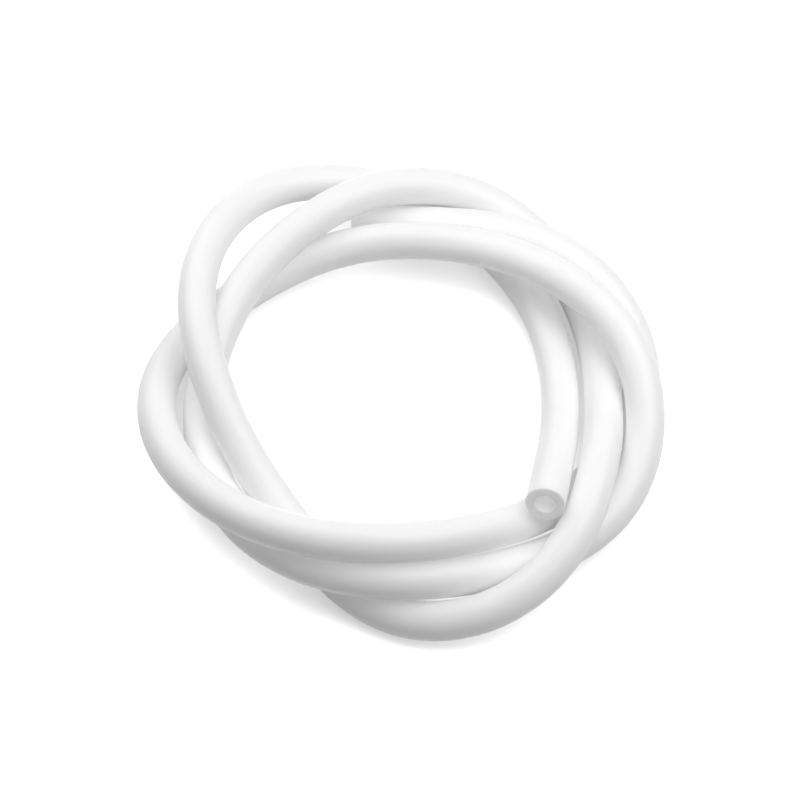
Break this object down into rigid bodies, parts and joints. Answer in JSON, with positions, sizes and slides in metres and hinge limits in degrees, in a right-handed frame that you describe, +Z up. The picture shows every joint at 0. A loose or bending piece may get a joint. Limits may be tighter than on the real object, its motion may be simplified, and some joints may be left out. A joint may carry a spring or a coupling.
{
  "type": "tubing coil",
  "caption": "Loose, interwoven coil of soft white silicone tubing, with open cut ends that push over hose barbs.",
  "frame": {"origin": "middle of the coil's outline, on the surface that it lies on", "axes": "+X across the coil, +Y through it from front to back, +Z up through its open middle"},
  "size_m": [0.1086, 0.1144, 0.0241],
  "materials": {
    "silicone": "satin, milky white"
  },
  "bodies": {
    "root": {"tube": "silicone"}
  },
  "joints": []
}
